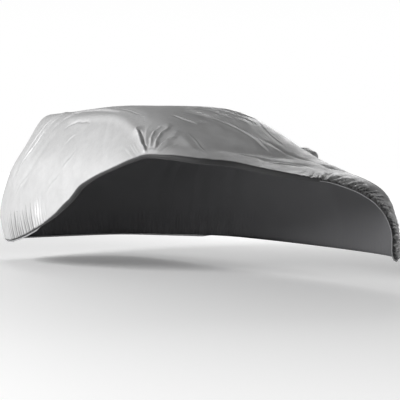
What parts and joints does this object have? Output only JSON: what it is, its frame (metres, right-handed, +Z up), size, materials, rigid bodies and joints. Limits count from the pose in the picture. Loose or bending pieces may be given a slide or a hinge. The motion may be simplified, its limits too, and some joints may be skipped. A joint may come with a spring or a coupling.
{
  "type": "fitted car cover",
  "caption": "Hollow fitted cover in silver-grey coated cloth, drawn back over its front right corner, with soft folds, a rolled edge and a gathered elastic hem.",
  "frame": {"origin": "inner face of the cloth under the middle of the top, where the cover rests on what it is fitted over", "axes": "+Z up; +Y from the nose towards the tail; -X towards the right side, whose front corner is drawn back"},
  "size_m": [1.8432, 4.3352, 1.2239],
  "materials": {
    "cloth": "silver-grey coated woven polyester, satin",
    "elastic": "pale grey elastic hem casing, matt"
  },
  "bodies": {
    "root": {"centre_panel": "cloth", "right_side_panel": "cloth", "left_side_panel": "cloth", "tail_panel": "cloth", "rear_elastic": "elastic", "front_elastic": "elastic"}
  },
  "joints": []
}
